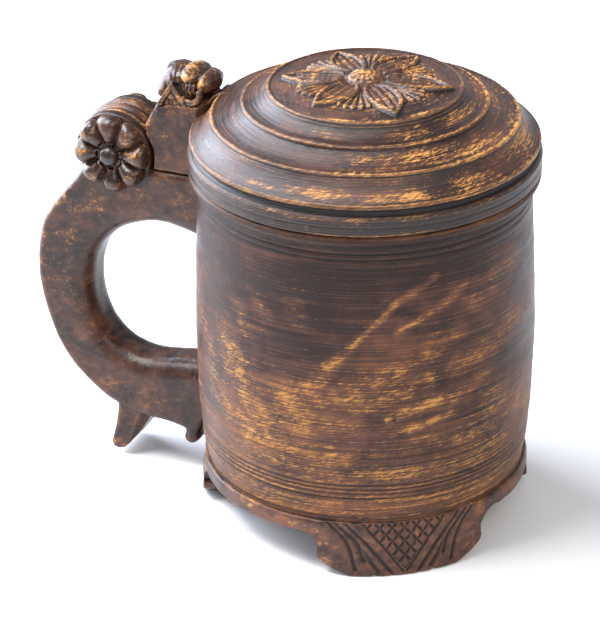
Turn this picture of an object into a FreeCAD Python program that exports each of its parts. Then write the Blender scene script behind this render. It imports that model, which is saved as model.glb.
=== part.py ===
import FreeCAD, Part
import math
import os
from FreeCAD import Vector

# Lidded wooden drinking tankard on three bracket feet.
# Millimetres. Z is up and the floor is z = 0. The handle points toward -X and
# the lid's hinge axis runs along Y. Everything is drawn about the vessel's own
# axis, then moved so that the origin is the middle of the whole footprint.

VESSEL_SHIFT = Vector(48.35, 0, 0)

# Vessel, turned
BORE_R = 77.5
SEAT_Z = 30.0
SEAT_R = 83.4
SPIGOT_R = 78.0
SPIGOT_Z = 22.0
RIM_Z = 190.9
RIM_R = 88.4
BOARD_Z = 33.5
BOARD_THICK = 10.0
CROZE_DEPTH = 2.4
LEDGE_R = 73.5
LOW_GROOVES = (45.0, 47.5, 50.0, 52.5)
LOW_R = 84.9
HIGH_GROOVES = (176.8, 180.2)

# Foot ring
FOOT_R = 86.6
FOOT_ANGLES = (54.3, -54.3, 180.0)
NOTCH_ANGLE = 10.2
CARVE_DEPTH = 1.0

# Lid, turned
LID_GAP = 0.3
LID_R = 89.0
PLUG_R = 76.2
PLUG_DEPTH = 5.0
FIELD_R = 47.0
FIELD_Z = 233.2
FIELD_RISE = 2.8
PETAL_COUNT = 6
PETAL_ANGLE = 12.0
PETAL_REACH = 43.0

# Hinge
HINGE_X = -134.5
HINGE_Z = 180.5
EAR_R = 22.5
EAR_IN = 9.0
KNUCKLE_R = 22.0
KNUCKLE_HALF = 8.8
PIN_R = 4.0
PIN_PLAY = 0.08
ROSETTE_R = 20.6
ROSETTE_PETALS = 8
ROSETTE_TURN = 3.0

# Handle and lid arm
HALF_WIDTH = 14.5
SEAM_Z = 174.0
SEAM_GAP = 0.6
DOWEL_R = 4.5
ARM_DOWEL_R = 3.0
ARM_DOWEL_Y = 8.0


def xz(x, z, y=0.0):
    return Vector(x, y, z)


def profile(steps, y=0.0):
    """Closed wire in the XZ plane. A step is a point, or (middle, end) for an arc."""
    edges = []
    start = xz(*steps[0], y)
    here = start
    for step in steps[1:]:
        if isinstance(step[0], tuple):
            end = xz(*step[1], y)
            edges.append(Part.Arc(here, xz(*step[0], y), end).toShape())
        else:
            end = xz(*step, y)
            edges.append(Part.makeLine(here, end))
        here = end
    if here.distanceToPoint(start) > 1e-6:
        edges.append(Part.makeLine(here, start))
    return Part.Wire(edges)


def turned(steps):
    return Part.Face(profile(steps)).revolve(Vector(), Vector(0, 0, 1), 360)


def slab(steps, half_width):
    """Profile in the XZ plane, thickened equally to both sides in Y."""
    return Part.Face(profile(steps, -half_width)).extrude(Vector(0, 2 * half_width, 0))


def rod(radius, start, end):
    return Part.makeCylinder(radius, (end - start).Length, start, end - start)


def ellipsoid(centre, radii):
    ball = Part.makeSphere(1.0)
    size = FreeCAD.Matrix()
    size.scale(*radii)
    ball = ball.transformGeometry(size)
    ball.translate(centre)
    return ball


def fuse_all(shapes):
    return shapes[0].multiFuse(shapes[1:]).removeSplitter()


def turn_z(shape, angle):
    copy = shape.copy()
    copy.rotate(Vector(), Vector(0, 0, 1), angle)
    return copy


def vessel_outside(inset=0.0):
    """Outer outline of the vessel from its seat up to the rim."""
    return [
        (SEAT_R - inset, SEAT_Z),
        ((83.0 - inset, 32.0), (83.2 - inset, 34.0)),
        ((84.2 - inset, 38.5), (LOW_R - inset, 44.0)),
        ((86.1 - inset, 58.0), (86.7 - inset, 72.0)),
        ((87.2 - inset, 98.0), (86.9 - inset, 121.0)),
        ((86.1 - inset, 146.0), (84.8 - inset, 170.0)),
        (84.8 - inset, 184.0),
        ((85.7 - inset, 184.6), (86.2 - inset, 185.6)),
        ((88.6 - inset, 187.2), (88.2 - inset, 190.2)),
        (RIM_R - 1.0 - inset, RIM_Z),
    ]


def groove_ring(radius, z, depth=0.5, half=0.7):
    steps = [(radius - depth, z), (radius + 2, z + half + 1.4), (radius + 2, z - half - 1.4)]
    return turned(steps)


def make_vessel_wall():
    """Turned wall: croze groove for the board, ledge under it, spigot for the foot ring."""
    croze_top = BOARD_Z + BOARD_THICK - 3.0
    croze_low = BOARD_Z + 3.0
    steps = [(SPIGOT_R, SPIGOT_Z), (SPIGOT_R, SEAT_Z)] + vessel_outside()
    steps += [
        (BORE_R + 1.0, RIM_Z),
        ((BORE_R + 0.3, RIM_Z - 0.3), (BORE_R, RIM_Z - 1.0)),
        (BORE_R, croze_top + 1.2),
        (BORE_R + CROZE_DEPTH, croze_top),
        (BORE_R + CROZE_DEPTH, croze_low),
        (BORE_R, croze_low - 1.2),
        (BORE_R, BOARD_Z),
        (LEDGE_R, BOARD_Z),
        (LEDGE_R, SPIGOT_Z),
    ]
    wall = turned(steps)
    for z in LOW_GROOVES:
        wall = wall.cut(groove_ring(LOW_R + 0.09 * (z - 44.0), z))
    for z in HIGH_GROOVES:
        wall = wall.cut(groove_ring(84.8, z))
    return wall


def make_bottom_board():
    top = BOARD_Z + BOARD_THICK
    steps = [
        (0, BOARD_Z),
        (BORE_R, BOARD_Z),
        (BORE_R, BOARD_Z + 1.8),
        (BORE_R + CROZE_DEPTH, BOARD_Z + 3.0),
        (BORE_R + CROZE_DEPTH, top - 3.0),
        (BORE_R, top - 1.8),
        (BORE_R - 1.0, top),
        (0, top),
    ]
    return turned(steps)


def foot_outside():
    return [(SEAT_R, SEAT_Z), ((84.7, 29.0), (85.1, 26.5)), ((85.3, 14.0), (FOOT_R, 0.0))]


def tangent_wire(points, spread):
    """Wire on the plane x = spread. A point is (degrees round the axis, height)."""
    def place(point):
        return Vector(spread, spread * math.tan(math.radians(point[0])), point[1])
    edges = []
    here = place(points[0])
    for step in points[1:]:
        if isinstance(step[0], tuple):
            end = place(step[1])
            edges.append(Part.Arc(here, place(step[0]), end).toShape())
        else:
            end = place(step)
            edges.append(Part.makeLine(here, end))
        here = end
    first = place(points[0])
    if here.distanceToPoint(first) > 1e-6:
        edges.append(Part.makeLine(here, first))
    return Part.Wire(edges)


def radial_block(points, azimuth, outer=100.0, inner=50.0):
    """Solid with walls that run straight out from the vessel's axis."""
    wire = tangent_wire(points, outer)
    shrink = FreeCAD.Matrix()
    shrink.scale(inner / outer, inner / outer, 1.0)
    wide = wire.transformGeometry(FreeCAD.Matrix())
    narrow = wire.transformGeometry(shrink)
    block = Part.makeLoft([narrow, wide], True, True)
    block.rotate(Vector(), Vector(0, 0, 1), azimuth)
    return block


def gap_points(reach):
    """Opening between two feet whose centres lie reach degrees either side."""
    half = [
        (reach - 18.8, 0.0),
        ((reach - 24.5, 3.2), (reach - 29.0, 7.0)),
        ((reach - 30.2, 9.4), (reach - 29.2, 13.5)),
        ((reach - 31.0, 18.8), (reach - 40.0, 22.3)),
    ]
    points = [(reach - 18.8, -2.0)] + half
    back = [(-half[3][1][0], 22.3)]
    back.append(((-half[3][0][0], half[3][0][1]), (-half[2][1][0], half[2][1][1])))
    back.append(((-half[2][0][0], half[2][0][1]), (-half[1][1][0], half[1][1][1])))
    back.append(((-half[1][0][0], half[1][0][1]), (-half[0][0], half[0][1])))
    return points + back + [(18.8 - reach, -2.0)]


def strip(points, half):
    """Radial groove of even width along a polyline of (degrees, height)."""
    left = []
    right = []
    for i, point in enumerate(points):
        before = points[max(i - 1, 0)]
        after = points[min(i + 1, len(points) - 1)]
        du = (after[0] - before[0]) * 1.5
        dz = after[1] - before[1]
        size = math.hypot(du, dz)
        left.append((point[0] - dz / size * half / 1.5, point[1] + du / size * half))
        right.append((point[0] + dz / size * half / 1.5, point[1] - du / size * half))
    return radial_block(left + right[::-1], 0.0)


def foot_carving():
    """Grooves of one foot at azimuth 0: a cross-hatched triangle between curved ribs."""
    strips = []
    apex = (0.0, 4.0)
    corner = 15.0
    top = SEAT_Z - 1.0
    slope = (top - apex[1]) / corner
    for side in (-1, 1):
        strips.append(strip([apex, (side * corner * 0.5, apex[1] + slope * corner * 0.5), (side * corner, top)], 0.6))
        for k in range(1, 5):
            foot = -side * corner * k / 5.0
            low = apex[1] + slope * abs(foot)
            mid = corner - abs(foot)
            end_angle = foot + side * mid
            strips.append(strip([(foot, low), (end_angle, low + slope * mid)], 0.45))
        ribs = (
            [(19.5, 28.8), (14.5, 19.0), (9.0, 9.5), (5.5, 3.0)],
            [(22.0, 27.5), (17.8, 19.0), (14.2, 10.0), (10.6, 4.5)],
            [(25.5, 28.5), (21.0, 22.0), (18.6, 13.0), (17.2, 5.0)],
        )
        for rib in ribs:
            strips.append(strip([(side * a, z) for a, z in rib], 0.7))
    shell_out = [(SEAT_R + 3, SEAT_Z + 1), (SEAT_R - CARVE_DEPTH, SEAT_Z + 1)]
    inner = [(r - CARVE_DEPTH, z) for r, z in ((85.1, 26.5), (85.2, 20.0), (85.4, 12.0), (FOOT_R, 0.0))]
    skin = turned(shell_out + [(SEAT_R - CARVE_DEPTH, SEAT_Z)] + inner + [(FOOT_R + 3, 0.0)])
    return [s.common(skin) for s in strips]


def make_foot_ring():
    steps = foot_outside() + [
        (79.5, 0.0),
        ((77.2, 8.0), (75.5, SPIGOT_Z)),
        (SPIGOT_R, SPIGOT_Z),
        (SPIGOT_R, SEAT_Z),
    ]
    ring = turned(steps)
    front = FOOT_ANGLES[0]
    side = (180.0 - front) / 2
    openings = ((0.0, front), (front + side, side), (-front - side, side))
    for azimuth, reach in openings:
        ring = ring.cut(radial_block(gap_points(reach), azimuth))
    cutters = []
    grooves = foot_carving()
    for azimuth in FOOT_ANGLES:
        for side in (-1, 1):
            a = side * NOTCH_ANGLE
            cutters.append(radial_block([(a - 1.3, -1.0), (a, 1.7), (a + 1.3, -1.0)], azimuth))
        cutters += [turn_z(g, azimuth) for g in grooves]
    return ring.cut(cutters)


def lid_top():
    """Upper outline of the lid, from its vertical edge in to the carved field."""
    low = RIM_Z + LID_GAP
    return [
        (LID_R - 1.5, low),
        ((LID_R - 0.3, low + 0.4), (LID_R, low + 1.6)),
        (LID_R, 199.8),
        (LID_R - 1.2, 201.4),
        (86.6, 201.6),
        ((86.3, 203.2), (87.4, 204.8)),
        ((88.5, 206.3), (87.2, 207.4)),
        ((81.0, 211.6), (77.0, 217.2)),
        (76.6, 218.8),
        (75.6, 219.6),
        ((68.0, 221.0), (61.6, 224.9)),
        (61.0, 226.5),
        (60.0, 227.0),
        ((54.5, 228.4), (49.8, 231.4)),
        (49.4, 232.4),
        (48.6, 233.6),
        (47.6, 233.7),
        (FIELD_R, FIELD_Z),
        ((FIELD_R / 2, FIELD_Z + FIELD_RISE * 0.75), (0, FIELD_Z + FIELD_RISE)),
    ]


def field_cap(lift, low=226.0):
    """Solid under the carved field, raised by lift."""
    top = FIELD_Z + lift
    steps = [(0, low), (FIELD_R, low), (FIELD_R, top)]
    steps.append(((FIELD_R / 2, top + FIELD_RISE * 0.75), (0, top + FIELD_RISE)))
    return turned(steps)


def petal_outline(reach, width, start, inset=0.0):
    """Pointed leaf along +X in the XY plane."""
    a = Vector(start + inset, width * 0.28 - inset * 0.6, 0)
    b = Vector(start + (reach - start) * 0.62, width - inset, 0)
    tip = Vector(reach - inset * 2.0, 0, 0)
    upper = Part.BSplineCurve()
    upper.interpolate([a, Vector(start + (reach - start) * 0.3, width * 0.8 - inset, 0), b, tip])
    lower = upper.toShape().mirror(Vector(), Vector(0, 1, 0))
    base = Part.makeLine(lower.Vertexes[0].Point, a)
    return Part.Face(Part.Wire(Part.__sortEdges__([upper.toShape(), lower, base])))


def raised(face, low, height=20.0):
    block = face.copy()
    block.translate(Vector(0, 0, low))
    return block.extrude(Vector(0, 0, height))


def make_petal():
    leaf = raised(petal_outline(PETAL_REACH, 7.4, 7.0), 230.0).common(field_cap(2.6))
    hollow = raised(petal_outline(PETAL_REACH, 7.4, 7.0, 2.0), 230.0).cut(field_cap(1.2))
    leaf = leaf.cut(hollow)
    rib_face = petal_outline(PETAL_REACH - 7.0, 1.0, 9.0)
    rib = raised(rib_face, 230.0).common(field_cap(2.2))
    return leaf.fuse(rib)


def make_fan():
    """Scalloped leaf between two petals, along +X."""
    spread = 15.0
    tip_r = 34.0
    centre = Vector(16.0, 0, 0)
    points = []
    lobes = 5
    for k in range(lobes + 1):
        a = math.radians(-spread * 1.45 + 2 * spread * 1.45 * k / lobes)
        points.append(centre + Vector(math.cos(a), math.sin(a), 0) * (tip_r - 16.0))
    edges = [Part.makeLine(Vector(12.0, -1.0, 0), points[0])]
    for k in range(lobes):
        middle = (points[k] + points[k + 1]) * 0.5
        out = (middle - centre).normalize()
        edges.append(Part.Arc(points[k], middle + out * 1.8, points[k + 1]).toShape())
    edges.append(Part.makeLine(points[-1], Vector(12.0, 1.0, 0)))
    edges.append(Part.makeLine(Vector(12.0, 1.0, 0), Vector(12.0, -1.0, 0)))
    leaf = raised(Part.Face(Part.Wire(edges)), 230.0).common(field_cap(1.9))
    for k in range(1, lobes):
        groove = rod(0.7, centre + Vector(0, 0, FIELD_Z + 4.6), points[k] + Vector(0, 0, FIELD_Z + 3.2))
        leaf = leaf.cut(groove)
    return leaf


def lid_under():
    low = RIM_Z + LID_GAP
    return [
        (0, 224.0),
        ((40.0, 220.5), (62.0, 211.0)),
        ((69.5, 205.0), (71.0, 197.0)),
        (71.0, low - PLUG_DEPTH + 0.8),
        (71.8, low - PLUG_DEPTH),
        (PLUG_R - 1.0, low - PLUG_DEPTH),
        (PLUG_R, low - PLUG_DEPTH + 1.0),
        (PLUG_R, low),
    ]


def make_lid():
    body = turned(lid_under() + lid_top())
    petal = make_petal()
    fan = make_fan()
    step = 360.0 / PETAL_COUNT
    pieces = [body]
    for k in range(PETAL_COUNT):
        pieces.append(turn_z(petal, PETAL_ANGLE + k * step))
        pieces.append(turn_z(fan, PETAL_ANGLE + (k + 0.5) * step))
    boss = ellipsoid(Vector(0, 0, FIELD_Z + 1.5), (8.6, 8.6, 6.0))
    flutes = []
    for k in range(16):
        a = math.radians(360.0 * k / 16)
        out = Vector(math.cos(a), math.sin(a), 0)
        flutes.append(rod(0.8, out * 3.0 + Vector(0, 0, FIELD_Z + 8.2), out * 9.6 + Vector(0, 0, FIELD_Z + 3.0)))
    pieces.append(boss.cut(flutes).common(field_cap(20.0)))
    return fuse_all(pieces)


def handle_outline():
    """Side view of the handle, clockwise from the seam under the lid arm."""
    outer = Part.BSplineCurve()
    outer.interpolate([xz(*p) for p in (
        (-154.0, 168.0), (-167.0, 152.1), (-180.5, 130.0), (-185.7, 101.0), (-181.0, 73.0),
        (-165.1, 44.3), (-149.2, 33.0), (-139.5, 30.5))])
    hole = Part.BSplineCurve()
    hole.interpolate([xz(*p) for p in (
        (-80.0, 64.8), (-100.4, 62.8), (-125.4, 60.6), (-140.3, 66.6), (-149.6, 79.2),
        (-153.7, 98.0), (-149.6, 117.7), (-139.3, 131.0), (-127.3, 137.6), (-110.0, 141.2),
        (-88.8, 136.8), (-80.0, 133.5))])
    edges = [
        Part.makeLine(xz(-80, SEAM_Z), xz(-115, SEAM_Z)),
        Part.makeLine(xz(-115, SEAM_Z), xz(-134.5, HINGE_Z)),
        Part.makeLine(xz(-134.5, HINGE_Z), xz(-154.0, 168.0)),
        outer.toShape(),
        Part.makeLine(xz(-139.5, 30.5), xz(-140.6, 17.6)),
        Part.makeLine(xz(-140.6, 17.6), xz(-143.4, 7.0)),
        Part.Arc(xz(-143.4, 7.0), xz(-139.8, 3.2), xz(-134.6, 5.4)).toShape(),
        Part.makeLine(xz(-134.6, 5.4), xz(-126.0, 17.2)),
        Part.makeLine(xz(-126.0, 17.2), xz(-121.0, 26.2)),
        Part.Arc(xz(-121.0, 26.2), xz(-112.0, 25.9), xz(-104.5, 25.0)).toShape(),
        Part.Arc(xz(-104.5, 25.0), xz(-100.4, 24.0), xz(-99.7, 20.6)).toShape(),
        Part.Arc(xz(-99.7, 20.6), xz(-98.2, 15.0), xz(-93.6, 15.8)).toShape(),
        Part.Arc(xz(-93.6, 15.8), xz(-90.6, 23.0), xz(-86.0, 30.6)).toShape(),
        Part.makeLine(xz(-86.0, 30.6), xz(-80.0, 34.0)),
        Part.makeLine(xz(-80.0, 34.0), xz(-80.0, 64.8)),
        hole.toShape(),
        Part.makeLine(xz(-80.0, 133.5), xz(-80, SEAM_Z)),
    ]
    return Part.Wire(edges)


def soften(solid, amount, keep):
    """Round the edges for which keep(edge) is true; falls back to a bevel."""
    edges = [e for e in solid.Edges if keep(e)]
    for attempt in (solid.makeFillet, solid.makeChamfer):
        for size in (amount, amount * 0.7, amount * 0.4):
            try:
                result = attempt(size, edges)
                if result.isValid() and result.Volume > 0.5 * solid.Volume:
                    return result
            except Exception:
                continue
    print("edges left sharp")
    return solid


def make_handle():
    face = Part.Face(handle_outline())
    face.translate(Vector(0, -HALF_WIDTH, 0))
    body = face.extrude(Vector(0, 2 * HALF_WIDTH, 0))

    def side_edge(edge):
        box = edge.BoundBox
        flat = box.YLength < 0.01 and abs(abs(box.Center.y) - HALF_WIDTH) < 0.01
        return flat and edge.Length > 60.0

    body = soften(body, 5.0, side_edge)
    ear = rod(EAR_R, Vector(HINGE_X, -HALF_WIDTH, HINGE_Z), Vector(HINGE_X, HALF_WIDTH, HINGE_Z))
    body = body.fuse(ear)
    slot = rod(KNUCKLE_R + 0.6, Vector(HINGE_X, -EAR_IN, HINGE_Z), Vector(HINGE_X, EAR_IN, HINGE_Z))
    body = body.cut(slot)
    body = body.cut(rod(PIN_R, Vector(HINGE_X, -30, HINGE_Z), Vector(HINGE_X, 30, HINGE_Z)))
    filled = turned([(0, SEAT_Z)] + vessel_outside() + [(0, RIM_Z)])
    foot = turned([(0, 0)] + [(0, SEAT_Z)] + foot_outside())
    body = body.cut(filled).cut(foot)
    body = body.cut(dowel_upper()).cut(dowel_lower())
    return max(body.Solids, key=lambda s: s.Volume)


def dowel_upper():
    return rod(DOWEL_R, xz(-79.5, 158.0), xz(-112.0, 158.0))


def dowel_lower():
    return rod(DOWEL_R, xz(-79.5, 50.0), xz(-115.0, 46.0))


def arm_dowel(side):
    y = side * ARM_DOWEL_Y
    return rod(ARM_DOWEL_R, xz(-76.0, 198.0, y), xz(-101.0, 198.0, y))


def thumb_dowel():
    return rod(4.0, xz(-96.5, 196.0), xz(-96.5, 218.0))


def make_lid_arm():
    low = SEAM_Z + SEAM_GAP
    scoop = KNUCKLE_R + 1.2
    start = math.asin((HINGE_Z - low) / scoop)
    first = (HINGE_X + scoop * math.cos(start), low)
    second = (HINGE_X + scoop * math.cos(0.55), HINGE_Z + scoop * math.sin(0.55))
    steps = [
        (-80.0, low),
        first,
        ((HINGE_X + scoop, HINGE_Z + 1.0), second),
        ((-115.6, 196.0), (-114.1, 199.6)),
        ((-111.2, 203.5), (-109.0, 208.6)),
        (-103.6, 209.2),
        (-92.3, 210.6),
        ((-85.6, 212.9), (-79.5, 218.2)),
        ((-75.5, 219.9), (-71.0, 220.3)),
        (-67.0, 216.0),
        (-80.0, 196.0),
    ]
    block = slab(steps, HALF_WIDTH)
    # Seen from above the tongue narrows to a rounded end on the lid.
    plan_edges = [
        Part.makeLine(Vector(-120, -20, 0), Vector(-120, 20, 0)),
        Part.makeLine(Vector(-120, 20, 0), Vector(-88, 20, 0)),
        Part.makeLine(Vector(-88, 20, 0), Vector(-88, HALF_WIDTH, 0)),
        Part.Arc(Vector(-88, HALF_WIDTH, 0), Vector(-80, 11.5, 0), Vector(-74, 6.0, 0)).toShape(),
        Part.Arc(Vector(-74, 6.0, 0), Vector(-71.2, 0, 0), Vector(-74, -6.0, 0)).toShape(),
        Part.Arc(Vector(-74, -6.0, 0), Vector(-80, -11.5, 0), Vector(-88, -HALF_WIDTH, 0)).toShape(),
        Part.makeLine(Vector(-88, -HALF_WIDTH, 0), Vector(-88, -20, 0)),
        Part.makeLine(Vector(-88, -20, 0), Vector(-120, -20, 0)),
    ]
    plan = Part.Face(Part.Wire(plan_edges)).extrude(Vector(0, 0, 300))
    arm = block.common(plan)
    knuckle = rod(KNUCKLE_R, Vector(HINGE_X, -KNUCKLE_HALF, HINGE_Z), Vector(HINGE_X, KNUCKLE_HALF, HINGE_Z))
    for y in (-4.4, 0.0, 4.4):
        ring = Part.makeTorus(KNUCKLE_R + 0.6, 1.1, Vector(HINGE_X, y, HINGE_Z), Vector(0, 1, 0))
        knuckle = knuckle.cut(ring)
    ear_room = rod(EAR_R + 0.7, Vector(HINGE_X, -30, HINGE_Z), Vector(HINGE_X, 30, HINGE_Z))
    arm = arm.cut(ear_room).fuse(arm_web()).fuse(knuckle)
    arm = arm.cut(rod(PIN_R + PIN_PLAY, Vector(HINGE_X, -30, HINGE_Z), Vector(HINGE_X, 30, HINGE_Z)))
    lid_solid = turned([(0, RIM_Z)] + [(LID_R - 1.5, RIM_Z)] + lid_top())
    rim_room = Part.makeCylinder(89.8, 40.0, Vector(0, 0, RIM_Z + LID_GAP - 40.0))
    arm = arm.cut(lid_solid).cut(rim_room)
    for side in (-1, 1):
        arm = arm.cut(arm_dowel(side))
    arm = arm.cut(thumb_dowel())
    return max(arm.Solids, key=lambda s: s.Volume)


def arm_web():
    """Joins the knuckle to the block between the ears."""
    low = SEAM_Z + SEAM_GAP
    steps = [
        (HINGE_X + 6.0, low),
        (HINGE_X + 26.0, low),
        (HINGE_X + 26.0, HINGE_Z + 16.0),
        (HINGE_X + 15.5, HINGE_Z + 15.5),
        (HINGE_X + 6.0, HINGE_Z + 10.0),
    ]
    return slab(steps, KNUCKLE_HALF)


def make_rosette(side):
    """Eight-petalled boss on an ear's outer face."""
    y0 = side * HALF_WIDTH
    disc = rod(ROSETTE_R - 1.0, Vector(HINGE_X, y0, HINGE_Z), Vector(HINGE_X, y0 + side * 2.4, HINGE_Z))
    pieces = [disc]
    for k in range(ROSETTE_PETALS):
        a = 360.0 * k / ROSETTE_PETALS - ROSETTE_TURN
        petal = ellipsoid(Vector(13.6, 0, 0), (7.4, 7.0, 5.2))
        petal.rotate(Vector(), Vector(0, 1, 0), a)
        petal.translate(Vector(HINGE_X, y0 + side * 1.6, HINGE_Z))
        pieces.append(petal)
    whole = fuse_all(pieces)
    keep = Part.makeBox(60, 30, 60, Vector(HINGE_X - 30, 0, HINGE_Z - 30))
    keep.translate(Vector(0, y0 if side > 0 else y0 - 30, 0))
    whole = whole.common(keep)
    hole = rod(PIN_R, Vector(HINGE_X, -40, HINGE_Z), Vector(HINGE_X, 40, HINGE_Z))
    return whole.cut(hole)


def knob(side):
    """Domed end on the pin, seated on the rosette's disc."""
    base = side * (HALF_WIDTH + 2.4)
    dome = ellipsoid(Vector(HINGE_X, base + side * 2.2, HINGE_Z), (5.4, 4.6, 5.4))
    neck = rod(5.4, Vector(HINGE_X, base, HINGE_Z), Vector(HINGE_X, base + side * 2.2, HINGE_Z))
    keep = Part.makeBox(40, 20, 40, Vector(HINGE_X - 20, 0, HINGE_Z - 20))
    keep.translate(Vector(0, base if side > 0 else base - 20, 0))
    return dome.common(keep).fuse(neck)


def make_pin():
    end = HALF_WIDTH + 2.4
    shaft = rod(PIN_R, Vector(HINGE_X, -end, HINGE_Z), Vector(HINGE_X, end + 2.5, HINGE_Z))
    return shaft.fuse(knob(-1)).removeSplitter()


def make_pin_knob():
    shaft = rod(PIN_R, Vector(HINGE_X, 0, HINGE_Z), Vector(HINGE_X, HALF_WIDTH + 4.9, HINGE_Z))
    return knob(1).cut(shaft)


def make_thumbpiece():
    """Carved flower bud on a rounded collar, facing both sides."""
    centre = Vector(-96.0, 0, 219.0)
    pieces = [ellipsoid(centre, (12.2, 10.8, 9.2))]
    for k in range(6):
        a = math.radians(90.0 + 60.0 * k)
        lobe = ellipsoid(Vector(), (6.6, 12.4, 5.5))
        lobe.rotate(Vector(), Vector(0, 1, 0), -math.degrees(a))
        lobe.translate(centre + Vector(10.4 * math.cos(a), 0, 6.6 * math.sin(a)))
        pieces.append(lobe)
    for side in (-1, 1):
        pieces.append(ellipsoid(centre + Vector(0, side * 9.0, 0), (5.5, 5.5, 4.6)))
    pieces.append(Part.makeBox(25.0, 25.0, 6.0, Vector(-108.0, -12.5, 208.0)))
    bud = fuse_all(pieces)
    return bud


def seat_thumbpiece(bud, arm):
    bud = bud.cut(arm).cut(thumb_dowel())
    lid_solid = turned([(0, RIM_Z)] + [(LID_R - 1.5, RIM_Z)] + lid_top())
    bud = bud.cut(lid_solid)
    return max(bud.Solids, key=lambda s: s.Volume)


def bored_lid(lid):
    for side in (-1, 1):
        lid = lid.cut(arm_dowel(side))
    return lid


def bored_wall(wall):
    return wall.cut(dowel_upper()).cut(dowel_lower())


def build():
    arm = make_lid_arm()
    return {
        "vessel_wall": bored_wall(make_vessel_wall()),
        "bottom_board": make_bottom_board(),
        "foot_ring": make_foot_ring(),
        "handle": make_handle(),
        "upper_handle_dowel": dowel_upper(),
        "lower_handle_dowel": dowel_lower(),
        "near_rosette": make_rosette(-1),
        "far_rosette": make_rosette(1),
        "hinge_pin": make_pin(),
        "pin_knob": make_pin_knob(),
        "lid": bored_lid(make_lid()),
        "lid_arm": arm,
        "near_arm_dowel": arm_dowel(-1),
        "far_arm_dowel": arm_dowel(1),
        "thumbpiece": seat_thumbpiece(make_thumbpiece(), arm),
        "thumbpiece_dowel": thumb_dowel(),
    }


os.makedirs("parts", exist_ok=True)
for name, shape in build().items():
    shape.translate(VESSEL_SHIFT)
    box = shape.BoundBox
    print(name, len(shape.Solids), shape.isValid(), round(shape.Volume),
          [round(v, 1) for v in (box.XMin, box.XMax, box.YMin, box.YMax, box.ZMin, box.ZMax)])
    shape.exportStep("parts/" + name + ".step")
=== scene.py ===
import cmath
import math

import bpy
import numpy as np
from mathutils import Matrix, Vector


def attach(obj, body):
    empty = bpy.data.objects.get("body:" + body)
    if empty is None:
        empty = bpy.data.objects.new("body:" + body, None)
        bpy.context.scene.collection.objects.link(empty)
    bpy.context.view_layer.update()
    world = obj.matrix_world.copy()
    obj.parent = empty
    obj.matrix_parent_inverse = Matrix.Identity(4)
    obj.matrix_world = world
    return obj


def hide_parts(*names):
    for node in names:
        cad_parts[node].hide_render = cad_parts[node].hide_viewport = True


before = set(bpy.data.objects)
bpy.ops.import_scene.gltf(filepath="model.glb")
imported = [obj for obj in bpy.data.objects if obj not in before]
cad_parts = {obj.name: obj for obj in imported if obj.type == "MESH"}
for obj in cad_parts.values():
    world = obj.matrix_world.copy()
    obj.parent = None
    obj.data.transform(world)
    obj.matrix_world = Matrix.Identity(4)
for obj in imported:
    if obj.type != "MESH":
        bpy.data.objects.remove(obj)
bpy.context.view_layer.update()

# A turned and carved wooden tankard. Shapes are worked out in millimetres about the
# vessel's own axis, and placed in the row's frame in metres by build_mesh().

AXIS_X = 0.04835  # the vessel's axis in the row's frame, in metres
FRONT = -68.0  # direction of the tankard's front, in degrees from +X

# Vessel and foot ring
SEAT_Z = 30.0  # seam between the wall and the foot ring
RIM_Z = 190.9
BORE_R = 77.5
LEDGE_R = 73.5
SPIGOT_R = 78.0
SPIGOT_Z = 22.2
LOW_GROOVES = ((45.0, 0.34), (47.5, 0.30), (50.0, 0.34), (52.5, 0.26))  # height, depth
HIGH_GROOVES = (176.8, 180.2)
FRONT_FOOT = 54.3  # the front feet stand this many degrees either side of +X
FOOT_ARC = 1.48  # mm along the foot ring's skirt per degree
ARCH_Z = 22.3  # top of the openings between the feet
LIP_Z = 26.5  # lower edge of the ring's rounded lip

# Lid
LID_LOW = RIM_Z + 0.3
LID_R = 89.0
PLUG_R = 76.2
FIELD_R = 47.0
FIELD_Z = 233.2
FIELD_RISE = 2.8
PETAL_COUNT = 6
PETAL_TURN = 12.0

# Handle and hinge
HINGE = (-134.5, 180.5)  # x and z of the pin
HALF_WIDTH = 14.5
SEAM_Z = 174.0  # seam between the handle and the lid's arm
ARM_LOW = 174.6
EAR_R = 21.6
EAR_IN = 9.0
ARM_SCOOP = 23.2  # the arm's hollow round the ears
KNUCKLE_R = 22.0
KNUCKLE_HALF = 8.8
PIN_R = 3.95
KNOB_R = 5.4
ROSETTE_PETALS = 8
BUD = (-96.0, 219.0)  # x and z of the flower bud


# ---- outlines

def arc_points(start, middle, end, spacing):
    """Points after start on the arc through three points."""
    a, b, c = complex(*start), complex(*middle), complex(*end)
    w = (c - a) / (b - a)
    centre = a + (b - a) * (w - abs(w) ** 2) / (2j * w.imag)
    t0, t1, t2 = (cmath.phase(p - centre) for p in (a, b, c))
    turn = (t2 - t0) % (2 * math.pi)
    if (t1 - t0) % (2 * math.pi) > turn:
        turn -= 2 * math.pi
    radius = abs(a - centre)
    count = max(3, int(abs(turn) * radius / spacing) + 1)
    steps = t0 + turn * np.arange(1, count + 1) / count
    return [(centre.real + radius * math.cos(t), centre.imag + radius * math.sin(t)) for t in steps]


def path(steps, spacing):
    """Evenly divided line. A step is a point, or (middle, end) for an arc."""
    points = [steps[0]]
    for step in steps[1:]:
        here = points[-1]
        if isinstance(step[0], tuple):
            points += arc_points(here, *step, spacing)
            continue
        length = math.hypot(step[0] - here[0], step[1] - here[1])
        count = max(1, int(length / spacing + 0.5))
        points += [tuple(p) for p in np.linspace(here, step, count + 1)[1:]]
    return np.array(points)


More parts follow.
